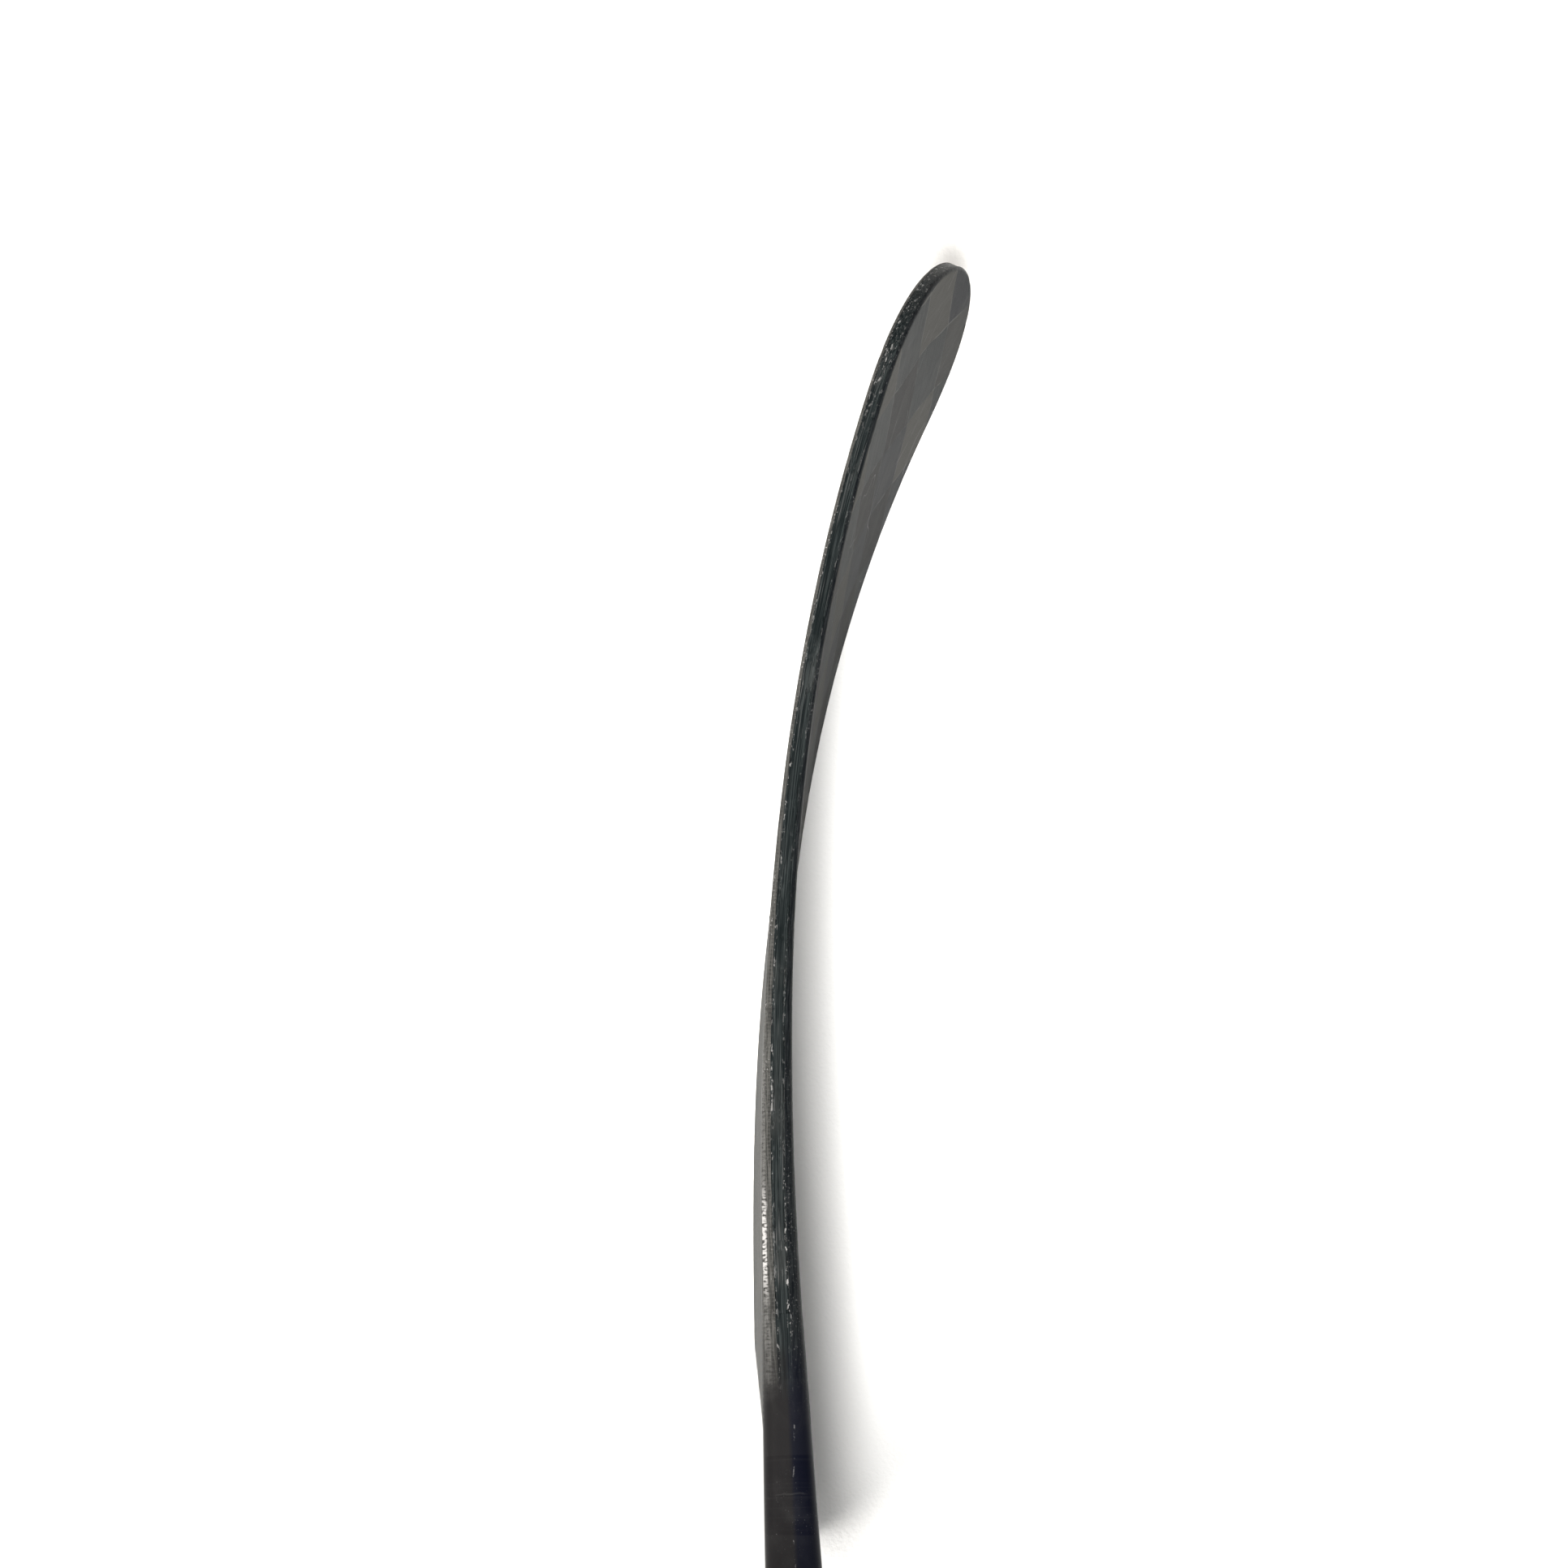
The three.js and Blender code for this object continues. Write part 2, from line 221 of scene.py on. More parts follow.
def rounded_path(begin, corner, end, radius, shares):
    """Points at shares of the length of a line, a parabola round the corner and a line."""
    begin, corner, end = (np.array(point, float) for point in (begin, corner, end))
    reach = radius * math.tan(LIE / 2)
    enter = corner + (begin - corner) / np.linalg.norm(begin - corner) * reach
    leave = corner + (end - corner) / np.linalg.norm(end - corner) * reach
    k = np.linspace(0, 1, TURN_POINTS)[:, None]
    turn = (1 - k) ** 2 * enter + 2 * k * (1 - k) * corner + k**2 * leave
    points = np.concatenate([begin[None], turn, end[None]])
    lengths = np.concatenate([[0], np.cumsum(np.linalg.norm(np.diff(points, axis=0), axis=1))])
    at = shares * lengths[-1]
    return np.stack([np.interp(at, lengths, points[:, i]) for i in range(3)], 1), at


def neck_sections(shares):
    """Centre, front direction, half depth, half width, corner radius and front distance."""
    joint = HEEL + UP_SHAFT * JOINT
    meet = (HEIGHT_HEEL - FORWARD[2] * NECK_DEPTH) / UP_SHAFT[2]
    corner = HEEL + UP_SHAFT * meet + FORWARD * NECK_DEPTH
    foot, head = (HEEL_X + NECK_END, 0, 0), (HEEL_X + NECK_END, 0, HEIGHT_HEEL)
    rear, _ = rounded_path(foot, HEEL, joint, HEEL_RADIUS, shares)
    front, gone = rounded_path(head, corner, joint + FORWARD * NECK_DEPTH, THROAT_RADIUS, shares)
    depth = np.linalg.norm(front - rear, axis=1)
    half_width = (THICK_HEEL + (NECK_WIDTH - THICK_HEEL) * shares**NECK_POWER) / 2
    edge = shoulder(np.array([NECK_END]))[0]
    radius = edge + (NECK_CORNER - edge) * shares
    return (front + rear) / 2, (front - rear) / depth[:, None], depth / 2, half_width, radius, gone


def shaft_sections(up):
    """The same for the shaft, at distances up its rear line."""
    grown = 1 - np.clip((TAPER_END - up) / (TAPER_END - JOINT), 0, 1) ** 2
    depth = NECK_DEPTH + (SHAFT_DEPTH - NECK_DEPTH) * grown
    width = NECK_WIDTH + (SHAFT_WIDTH - NECK_WIDTH) * grown
    centre = HEEL + UP_SHAFT * up[:, None] + FORWARD * depth[:, None] / 2
    radius = NECK_CORNER + (SHAFT_CORNER - NECK_CORNER) * grown
    return centre, np.tile(FORWARD, (len(up), 1)), depth / 2, width / 2, radius, up


# ---- Mesh helpers ----

def coordinates(piece):
    flat = np.zeros(len(piece.data.vertices) * 3)
    piece.data.vertices.foreach_get("co", flat)
    return flat.reshape(-1, 3)


def move_vertices(piece, points):
    piece.data.vertices.foreach_set("co", points.ravel())
    piece.data.update()


def store(piece, name, values):
    """Writes one vector to each vertex, for the materials to read."""
    attribute = piece.data.attributes.new(name, "FLOAT_VECTOR", "POINT")
    attribute.data.foreach_set("vector", np.asarray(values, np.float32).ravel())


def activate(piece):
    bpy.ops.object.select_all(action="DESELECT")
    piece.select_set(True)
    bpy.context.view_layer.objects.active = piece


def merged_copy(node, name):
    """A new piece with a CAD node's shape, its loose triangles merged into a quad mesh."""
    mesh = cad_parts[node].data.copy()
    for attribute in [a for a in mesh.attributes if not a.is_required and not a.is_internal]:
        mesh.attributes.remove(attribute)
    mesh.materials.clear()
    piece = bpy.data.objects.new(name, mesh)
    bpy.context.scene.collection.objects.link(piece)
    activate(piece)
    bpy.ops.object.mode_set(mode="EDIT")
    bpy.ops.mesh.select_all(action="SELECT")
    bpy.ops.mesh.remove_doubles(threshold=FINE_STEP)
    bpy.ops.mesh.tris_convert_to_quads()
    bpy.ops.mesh.normals_make_consistent(inside=False)
    bpy.ops.mesh.select_all(action="DESELECT")
    bpy.ops.object.mode_set(mode="OBJECT")
    if not piece.data.vertices:
        raise RuntimeError(f"{node} has no mesh to copy")
    return piece


def sharp_edges(piece, angle):
    """Indices of the edges whose faces meet at more than an angle."""
    normals = {}
    for polygon in piece.data.polygons:
        for key in polygon.edge_keys:
            normals.setdefault(key, []).append(polygon.normal)
    limit = math.cos(angle)
    return [
        edge.index
        for edge in piece.data.edges
        if len(normals[edge.key]) == 2 and normals[edge.key][0].dot(normals[edge.key][1]) < limit
    ]


def select_edges(piece, indices):
    """Leaves only these edges selected, in edit mode and edge mode."""
    activate(piece)
    bpy.ops.object.mode_set(mode="EDIT")
    bpy.ops.mesh.select_mode(type="EDGE")
    bpy.ops.mesh.select_all(action="DESELECT")
    bpy.ops.object.mode_set(mode="OBJECT")
    for i in indices:
        piece.data.edges[i].select = True
    bpy.ops.object.mode_set(mode="EDIT")


def bevel_edges(piece, indices, width, segments):
    select_edges(piece, indices)
    bpy.ops.mesh.bevel(offset=width, segments=segments, affect="EDGES", clamp_overlap=True)
    bpy.ops.object.mode_set(mode="OBJECT")


def subdivide(piece, levels):
    activate(piece)
    modifier = piece.modifiers.new("Smooth", "SUBSURF")
    modifier.levels = levels
    modifier.render_levels = levels
    bpy.ops.object.modifier_apply(modifier=modifier.name)


def grid(name, columns, rows):
    """A flat grid and each vertex's two shares, from 0 to 1."""
    bpy.ops.object.select_all(action="DESELECT")
    bpy.ops.mesh.primitive_grid_add(x_subdivisions=columns, y_subdivisions=rows, size=1)
    piece = bpy.context.object
    piece.name = name
    return piece, np.clip(coordinates(piece)[:, :2] + 0.5, 0, 1)


def thicken(piece, wall):
    """Closes a sheet's seams and gives it a wall on its inner side."""
    activate(piece)
    bpy.ops.object.mode_set(mode="EDIT")
    bpy.ops.mesh.select_all(action="SELECT")
    bpy.ops.mesh.remove_doubles(threshold=FINE_STEP / 4)
    bpy.ops.object.mode_set(mode="OBJECT")
    modifier = piece.modifiers.new("Wall", "SOLIDIFY")
    modifier.thickness = wall
    modifier.offset = -1
    bpy.ops.object.modifier_apply(modifier=modifier.name)
    bpy.ops.object.mode_set(mode="EDIT")
    bpy.ops.mesh.select_all(action="SELECT")
    bpy.ops.mesh.normals_make_consistent(inside=False)
    bpy.ops.object.mode_set(mode="OBJECT")


def turn_faces(piece, outwards):
    """Turns the sheet over if its first faces don't look along outwards."""
    normals = np.zeros(len(piece.data.polygons) * 3)
    piece.data.polygons.foreach_get("normal", normals)
    if normals.reshape(-1, 3).mean(0) @ outwards < 0:
        activate(piece)
        bpy.ops.object.mode_set(mode="EDIT")
        bpy.ops.mesh.select_all(action="SELECT")
        bpy.ops.mesh.flip_normals()
        bpy.ops.object.mode_set(mode="OBJECT")


def finish_piece(piece, material, slot, *nodes):
    activate(piece)
    bpy.ops.object.shade_smooth_by_angle(angle=SHARP)
    piece.data.materials.append(material)
    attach(piece, BODY)
    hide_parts(*nodes)


# ---- Node helpers ----

class Graph:
    """A material and the short calls that fill its node tree."""

    def __init__(self, name):
        self.material = bpy.data.materials.new(name)
        self.material.use_nodes = True
        self.tree = self.material.node_tree
        self.tree.nodes.clear()

    def node(self, kind, inputs=None, **settings):
        made = self.tree.nodes.new(kind)
        for key, value in settings.items():
            setattr(made, key, value)
        for key, value in (inputs or {}).items():
            self.put(made.inputs[key], value)
        return made

    def put(self, socket, value):
        if isinstance(value, bpy.types.NodeSocket):
            self.tree.links.new(value, socket)
        else:
            socket.default_value = value

    def math(self, operation, *values):
        made = self.tree.nodes.new("ShaderNodeMath")
        made.operation = operation
        for i, value in enumerate(values):
            self.put(made.inputs[i], value)
        return made.outputs[0]

    def times(self, first, *others):
        for other in others:
            first = self.math("MULTIPLY", first, other)
        return first

    def plus(self, first, *others):
        for other in others:
            first = self.math("ADD", first, other)
        return first

    def minus(self, first, second):
        return self.math("SUBTRACT", first, second)

    def gap(self, first, second):
        """How far two values are apart."""
        return self.math("ABSOLUTE", self.minus(first, second))

    def size(self, value):
        return self.math("ABSOLUTE", value)

    def larger(self, first, second):
        return self.math("MAXIMUM", first, second)

    def attribute(self, name):
        """A stored vector, in millimetres."""
        read = self.node("ShaderNodeAttribute", attribute_name=name)
        return self.scaled(read.outputs["Vector"], (1 / MM,) * 3)

    def place(self):
        """The place on the object, in millimetres."""
        return self.scaled(self.node("ShaderNodeTexCoord").outputs["Object"], (1 / MM,) * 3)

    def scaled(self, vector, factors):
        inputs = {0: vector, 1: factors}
        return self.node("ShaderNodeVectorMath", inputs, operation="MULTIPLY").outputs[0]

    def split(self, vector):
        return self.node("ShaderNodeSeparateXYZ", {0: vector}).outputs[:3]

    def join(self, x, y, z):
        return self.node("ShaderNodeCombineXYZ", {0: x, 1: y, 2: z}).outputs[0]

    def noise(self, vector, scale, detail=2.0, roughness=0.5):
        inputs = {"Vector": vector, "Scale": scale, "Detail": detail, "Roughness": roughness}
        return self.node("ShaderNodeTexNoise", inputs).outputs["Fac"]

    def random(self, vector):
        return self.node("ShaderNodeTexWhiteNoise", {"Vector": vector}).outputs["Value"]

    def step(self, value, low, high):
        """0 below low, 1 above high and smooth between; the other way round if high < low."""
        flip = high < low
        limits = {1: min(low, high), 2: max(low, high), 3: float(flip), 4: float(not flip)}
        made = self.node("ShaderNodeMapRange", {0: value, **limits}, interpolation_type="SMOOTHSTEP")
        return made.outputs[0]

    def mix(self, factor, a, b):
        made = self.node("ShaderNodeMix", data_type="RGBA")
        self.put(made.inputs["Factor"], factor)
        for key, value in ((6, a), (7, b)):
            is_socket = isinstance(value, bpy.types.NodeSocket)
            self.put(made.inputs[key], value if is_socket else (*value, 1))
        return made.outputs[2]

    def blend(self, factor, a, b):
        """The same for plain numbers."""
        made = self.node("ShaderNodeMix", data_type="FLOAT")
        for key, value in ((0, factor), (2, a), (3, b)):
            self.put(made.inputs[key], value)
        return made.outputs[0]

    def stain(self, colour, stain, *masks):
        """Lays another colour over the first, as much as the product of the masks says."""
        return self.mix(self.times(*masks), colour, stain)

    def finish(self, colour, roughness, height, depth, **constants):
        """Adds the shader. height is in shares of depth, which is in millimetres."""
        inputs = {"Base Color": colour, "Roughness": roughness}
        for key, value in constants.items():
            inputs[key.replace("_", " ")] = value
        bump = {"Height": height, "Distance": depth * MM, "Strength": 1.0}
        inputs["Normal"] = self.node("ShaderNodeBump", bump).outputs[0]
        shader = self.node("ShaderNodeBsdfPrincipled", inputs)
        output = self.node("ShaderNodeOutputMaterial")
        self.tree.links.new(shader.outputs[0], output.inputs["Surface"])
        return self.material


def woven_tows(graph, lay, tow, wander):
    """A plain weave of flat tows at 45 degrees: checker, fibre, border and patch patterns, 0 to 1."""
    x, _, z = graph.split(lay)
    drift = graph.times(graph.minus(graph.noise(lay, 0.03), 0.5), wander)
    diagonal = tow * math.sqrt(2)
    p = graph.plus(graph.math("DIVIDE", graph.plus(x, z), diagonal), drift)
    q = graph.minus(graph.math("DIVIDE", graph.minus(x, z), diagonal), drift)
    cell_p, cell_q = graph.math("FLOOR", p), graph.math("FLOOR", q)
    checker = graph.math("FLOORED_MODULO", graph.plus(cell_p, cell_q), 2.0)
    long_p = graph.join(graph.times(p, FIBRES_ALONG), graph.times(q, FIBRES_ACROSS), cell_q)
    long_q = graph.join(graph.times(p, FIBRES_ACROSS), graph.times(q, FIBRES_ALONG), cell_p)
    fibre = graph.blend(checker, graph.noise(long_p, 1.0, 3.0), graph.noise(long_q, 1.0, 3.0))
    patch = graph.random(graph.join(cell_p, cell_q, 0.0))

    def border(value):
        return graph.gap(graph.math("FRACT", value), 0.5)

    return checker, fibre, graph.larger(border(p), border(q)), patch


def hairline(graph, vector, scale, width):
    """Thin wandering lines where a smooth noise crosses its middle."""
    return graph.step(graph.gap(graph.noise(vector, scale, 1.0), 0.5), width, 0.0)


def chip_mask(graph, lay, scale, low, high):
    """Scattered small chips."""
    return graph.step(graph.noise(lay, scale, 4.0, 0.7), low, high)


# ---- Where the looks change, in millimetres from the heel along the blade or up the neck ----
FINE_WEAVE = (200.0, 130.0)
# The forehand face's painted shade fades out between these distances, towards the toe
SHADED_FACE = (285.0, 200.0)
WIDE_WRAP = (120.0, 240.0)
SPECKED_WRAP = (90.0, 130.0)
# Where the backhand wrap is polished and carries its painted highlight, and where that highlight is
# brightest
POLISH_AND_HIGHLIGHT_WRAP = (140.0, 100.0)
BRIGHTEST_HIGHLIGHT = 70.0
WORN_STRIP = 66.0
WORN_TOE = (262.0, 285.0)
BANDS_END = (8.0, 30.0)
WEAVE_END = (54.0, 50.0)
WEAVE_SLANT = 0.41
SCRATCH_END = (110.0, 80.0)
PAINT_SEAM = 42.2

# ---- Fibres in one tow's length and width ----
FIBRES_ALONG = 0.6
FIBRES_ACROSS = 24.0


# ---- Materials: a look is a colour, a roughness and a height ----

def woven_look(graph, lay, colours):
    """Flat tows on the blade's faces, which turn into a fine weave near the heel, with painted shade
    on the forehand face towards the heel.
    """
    x, t, _ = graph.split(lay)
    checker, fibre, edge, patch = woven_tows(graph, lay, colours.tow / MM, 0.55)
    fine_checker, fine_fibre, fine_edge, _ = woven_tows(graph, lay, colours.fine_tow / MM, 0.3)
    wave = graph.times(graph.noise(lay, 0.05), 40.0)
    near_heel = graph.step(graph.plus(x, wave), *FINE_WEAVE)
    tone = graph.blend(near_heel, checker, fine_checker)
    colour = graph.mix(tone, colours.cool_tow, colours.warm_tow)
    fleck = graph.blend(near_heel, fibre, fine_fibre)
    colour = graph.stain(colour, colours.pale_resin, graph.step(fleck, 0.3, 0.8), 0.12)
    darker = graph.blend(near_heel, 0.6, 0.3)
    colour = graph.stain(colour, colours.lacquer, graph.step(patch, 0.3, 0.9), darker)
    seam = graph.blend(near_heel, graph.step(edge, 0.482, 0.496), graph.step(fine_edge, 0.40, 0.5))
    broken = graph.step(graph.noise(lay, 0.15, 3.0), 0.42, 0.6)
    colour = graph.stain(colour, colours.pale_resin, seam, broken, 0.45)
    smear = graph.noise(graph.scaled(lay, (0.3, 1, 1)), 0.09, 4.0, 0.65)
    colour = graph.stain(colour, colours.dust, graph.step(smear, 0.45, 0.7), 0.24)
    line = hairline(graph, graph.scaled(lay, (0.5, 1, 1.6)), 0.03, 0.0018)
    colour = graph.stain(colour, colours.scratch, line, broken, 0.5)
    grain = graph.noise(lay, 5.0, 3.0, 0.75)
    colour = graph.stain(colour, colours.pale_resin, graph.step(grain, 0.45, 0.8), 0.2)
    # Painted shade: the forehand face is painted darker on the heel's side of the blade, and its
    # roughness rises there too
    painted_shade = graph.times(graph.step(t, 1.0, -1.0), graph.step(x, *SHADED_FACE))
    colour = graph.stain(colour, colours.crack_and_shade, painted_shade, 0.38)
    roughness = graph.plus(graph.times(smear, 0.16), graph.times(grain, 0.12))
    roughness = graph.plus(roughness, graph.blend(tone, 0.38, 0.46), graph.blend(painted_shade, 0.03, 0.18))
    height = graph.plus(graph.times(fleck, 0.35), graph.times(grain, 0.35))
    height = graph.minus(height, graph.times(seam, graph.blend(near_heel, 0.3, 0.6)))
    return colour, roughness, height


def wrap_look(graph, lay, rim, colours):
    """The skins' wrap over the edge: specked, polished and with a painted highlight on the backhand
    side, painted dark as shade on the other.
    """
    across, inset, along = graph.split(rim)
    streaks = graph.noise(graph.scaled(lay, (0.12, 2.4, 2.4)), 1.3, 4.0, 0.65)
    backhand = graph.step(across, -0.3, 0.3)
    # Painted shade: the forehand wrap takes darker copies of the wrap's colours
    dark = graph.mix(backhand, colours.shaded_fore_dark, colours.rim_dark)
    light = graph.mix(backhand, colours.shaded_fore_light, colours.rim_light)
    colour = graph.mix(graph.step(streaks, 0.38, 0.68), dark, light)
    weave, _, _, _ = woven_tows(graph, lay, colours.fine_tow / MM * 0.6, 0.2)
    colour = graph.stain(colour, colours.pale_resin, weave, graph.blend(backhand, 0.0, 0.16))
    chips = chip_mask(graph, graph.scaled(lay, (0.8, 1, 1)), 2.2, 0.60, 0.66)
    clusters = graph.step(graph.noise(lay, 0.045, 3.0), 0.42, 0.58)
    share = graph.blend(graph.step(along, *SPECKED_WRAP), 0.12, 0.9)
    chips = graph.times(chips, clusters, graph.blend(backhand, 0.15, share))
    colour = graph.mix(chips, colour, colours.chip_and_highlight)
    # Painted highlight: a pale serrated line along the backhand shoulder, brightest near the heel; the
    # roughness drops there too
    band = graph.times(graph.step(inset, 0.3, 0.6), graph.step(inset, 1.7, 1.2))
    brightest_highlight = graph.step(graph.gap(along, BRIGHTEST_HIGHLIGHT), 16.0, 5.0)
    teeth = graph.step(graph.noise(graph.scaled(lay, (1.6, 0.6, 0.6)), 1.0, 2.0), 0.38, 0.56)
    polish_and_highlight = graph.times(band, backhand, graph.step(along, *POLISH_AND_HIGHLIGHT_WRAP))
    polish_and_highlight = graph.times(polish_and_highlight, teeth, graph.blend(brightest_highlight, 0.12, 1.0))
    colour = graph.stain(colour, colours.chip_and_highlight, polish_and_highlight, 0.9)
    roughness = graph.blend(polish_and_highlight, graph.blend(streaks, 0.30, 0.55), 0.12)
    height = graph.minus(graph.times(streaks, 0.6), chips)
    return colour, roughness, graph.plus(height, graph.times(weave, 0.35))


def strip_look(graph, lay, across, along, colours):
    """Dark resin-rich strip with lengthwise fibres, worn and chipped along its borders."""
    streaks = graph.noise(graph.scaled(lay, (0.04, 2.6, 2.6)), 1.5, 4.0, 0.6)
    colour = graph.mix(graph.step(streaks, 0.42, 0.66), colours.edge_dark, colours.edge_light)
    clouds = graph.noise(graph.scaled(lay, (0.3, 1, 1)), 0.12, 3.0)
    colour = graph.stain(colour, colours.dust, graph.step(clouds, 0.5, 0.7), 0.2)
    fine = graph.noise(graph.scaled(lay, (0.05, 7.0, 7.0)), 1.2, 2.0)
    lines = graph.times(graph.step(fine, 0.60, 0.70), graph.step(clouds, 0.35, 0.6))
    colour = graph.stain(colour, colours.scratch, lines, 0.35)
    border = graph.step(graph.size(across), 0.8, 1.5)
    backhand = graph.step(across, -0.3, 0.3)
    worn = graph.step(graph.gap(along, WORN_STRIP), 24.0, 10.0)
    toe = graph.step(along, *WORN_TOE)
    chips = graph.noise(graph.scaled(lay, (0.4, 1, 1)), 1.2, 4.0, 0.7)
    chips = graph.step(graph.minus(chips, graph.blend(worn, 0.565, 0.55)), 0.0, 0.05)
    share = graph.blend(worn, graph.blend(backhand, 0.15, 0.4), graph.blend(backhand, 0.75, 0.2))
    share = graph.larger(share, graph.times(toe, 0.2))
    chips = graph.times(chips, graph.larger(border, toe), share)
    colour = graph.mix(chips, colour, colours.chip_and_highlight)
    cracks = chip_mask(graph, graph.scaled(lay, (0.25, 1.5, 1.5)), 0.9, 0.54, 0.60)
    cracked = graph.blend(worn, 0.4, graph.blend(backhand, 0.5, 1.0))
    cracks = graph.times(cracks, border, cracked)
    colour = graph.mix(cracks, colour, colours.crack_and_shade)
    roughness = graph.plus(graph.times(streaks, 0.25), graph.blend(clouds, 0.24, 0.40))
    height = graph.minus(graph.times(streaks, 0.5), graph.plus(chips, cracks))
    return colour, roughness, height


def lacquer_look(graph, planar, across, colours):
    """Near-black satin lacquer, painted lighter and warmer on the backhand side and darker on the
    forehand side as painted light and shade, with dust and scratches up the shaft.
    """
    x, y, z = graph.split(planar)

    def along(direction):
        return graph.math("MULTIPLY_ADD", x, float(direction[0]), graph.times(z, float(direction[2])))

    lay = graph.join(along(UP_SHAFT), y, along(FORWARD))
    checker, fibre, _, _ = woven_tows(graph, lay, colours.tow / MM, 0.2)
    # Painted light and shade: a lighter, warmer copy of the lacquer on the backhand side and a darker
    # one on the forehand side
    backhand = graph.step(across, -1.2, 0.2)
    colour = graph.mix(backhand, colours.lacquer, colours.lacquer_lit_side)
    colour = graph.stain(colour, colours.dust, graph.step(fibre, 0.5, 0.8), 0.06)
    colour = graph.stain(colour, colours.dust, checker, 0.03)
    clouds = graph.noise(graph.scaled(lay, (0.4, 1, 1)), 0.08, 4.0, 0.6)
    colour = graph.stain(colour, colours.dust, graph.step(clouds, 0.45, 0.75), 0.10)
    specks = graph.times(chip_mask(graph, lay, 1.5, 0.70, 0.73), graph.step(clouds, 0.4, 0.55))
    colour = graph.stain(colour, colours.chip_and_highlight, specks, 0.3)
    fine = graph.noise(graph.scaled(lay, (0.04, 5.0, 5.0)), 1.0, 2.0)
    lines = graph.times(graph.step(fine, 0.72, 0.75), graph.step(clouds, 0.42, 0.55))
    colour = graph.stain(colour, colours.scratch, lines, 0.4)
    grain = graph.noise(lay, 3.0, 3.0, 0.6)
    roughness = graph.plus(graph.times(clouds, 0.2), graph.times(grain, 0.08), 0.24)
    height = graph.minus(graph.times(grain, 0.3), graph.plus(lines, specks))
    return colour, roughness, height


def blend_looks(graph, share, a, b):
    """Goes from look a to look b."""
    return graph.mix(share, a[0], b[0]), graph.blend(share, a[1], b[1]), graph.blend(share, a[2], b[2])


def carbon_graph(name):
    """A new material with its stored vectors: the place, and how far across, in and along it lies."""
    graph = Graph(name)
    rim = graph.attribute("rim")
    return graph, graph.attribute("lay"), rim, *graph.split(rim)


def woven_material(colours):
    """The blade's faces, with the wrap round their rims."""
    graph, lay, rim, _, inset, along = carbon_graph("woven_carbon")
    reach = graph.blend(graph.step(along, *WIDE_WRAP), 3.1, 0.5)
    uneven = graph.plus(inset, graph.times(graph.noise(lay, 0.8, 2.0), 0.25))
    on_rim = graph.step(graph.minus(uneven, reach), 0.30, -0.05)
    face, wrap = woven_look(graph, lay, colours), wrap_look(graph, lay, rim, colours)
    look = blend_looks(graph, on_rim, face, wrap)
    return graph.finish(*look, 0.06, Specular_IOR_Level=SHEEN)


def edge_material(colours):
    """The bare strips along the blade's edge."""
    graph, lay, _, across, _, along = carbon_graph("edge_resin")
    look = strip_look(graph, lay, across, along, colours)
    return graph.finish(*look, 0.06, Specular_IOR_Level=SHEEN)


def lacquer_material(colours):
    """The shaft."""
    graph, lay, _, across, _, _ = carbon_graph("painted_carbon")
    look = lacquer_look(graph, lay, across, colours)
    return graph.finish(*look, 0.05, Specular_IOR_Level=SHEEN)


def neck_material(colours):
    """The blade's weave and edge bands, which go over into the shaft's lacquer."""
    graph, lay, _, across, inset, gone = carbon_graph("neck_carbon")
    x, _, z = graph.split(lay)
    along = graph.minus(NECK_END / MM, gone)
    lacquer = lacquer_look(graph, lay, across, colours)
    strip = strip_look(graph, lay, across, along, colours)
    wrap = wrap_look(graph, lay, graph.join(across, inset, along), colours)
    bands = blend_looks(graph, graph.step(graph.size(across), 1.9, 1.6), wrap, strip)
    ragged = graph.plus(gone, graph.times(graph.noise(lay, 0.2, 4.0), 16.0))
    bands = blend_looks(graph, graph.step(ragged, *BANDS_END), bands, lacquer)
    coat = (lacquer[0], graph.times(lacquer[1], 0.35), graph.times(lacquer[2], 0.3))
    slant = graph.math("MULTIPLY_ADD", z, WEAVE_SLANT, x)
    slant = graph.plus(slant, graph.times(graph.noise(lay, 0.3), 3.0))
    side = blend_looks(graph, graph.step(slant, *WEAVE_END), woven_look(graph, lay, colours), coat)
    on_front = graph.step(inset, 3.4, 2.2)
    colour, roughness, height = blend_looks(graph, on_front, side, bands)

    ridge = graph.minus(across, graph.times(graph.step(gone, 0.0, 70.0), 2.0))
    ridge = graph.plus(ridge, 1.2, graph.times(graph.noise(lay, 0.12, 2.0), 1.6))
    scratch = graph.step(graph.size(ridge), 0.24, 0.06)
    scratch = graph.times(scratch, graph.step(graph.noise(lay, 0.16, 4.0, 0.8), 0.54, 0.64))
    scratch = graph.times(scratch, on_front, graph.step(gone, *SCRATCH_END))
    colour = graph.stain(colour, colours.scratch, scratch, 0.3)
    place = graph.plus(gone, graph.times(graph.noise(lay, 0.4, 3.0), 1.5))
    seam = graph.step(graph.gap(place, PAINT_SEAM), 0.3, 0.1)
    seam = graph.times(seam, on_front, graph.step(graph.size(across), 4.5, 2.5))
    colour = graph.stain(colour, colours.dust, seam, 0.1)
    height = graph.minus(height, graph.larger(scratch, graph.times(seam, 0.15)))
    return graph.finish(colour, roughness, height, 0.05, Specular_IOR_Level=SHEEN)


def rubber_material(colours):
    """The butt cap, scuffed round its side."""
    graph = Graph("cap_rubber")
    lay = graph.attribute("lay")
    grain = graph.noise(lay, 2.5, 4.0, 0.7)
    scuffs = graph.step(graph.noise(graph.scaled(lay, (1, 0.3, 1)), 0.6, 4.0, 0.6), 0.55, 0.7)
    colour = graph.stain(colours.rubber, colours.dust, scuffs, 0.3)
    return graph.finish(colour, graph.blend(grain, 0.6, 0.9), grain, 0.08)


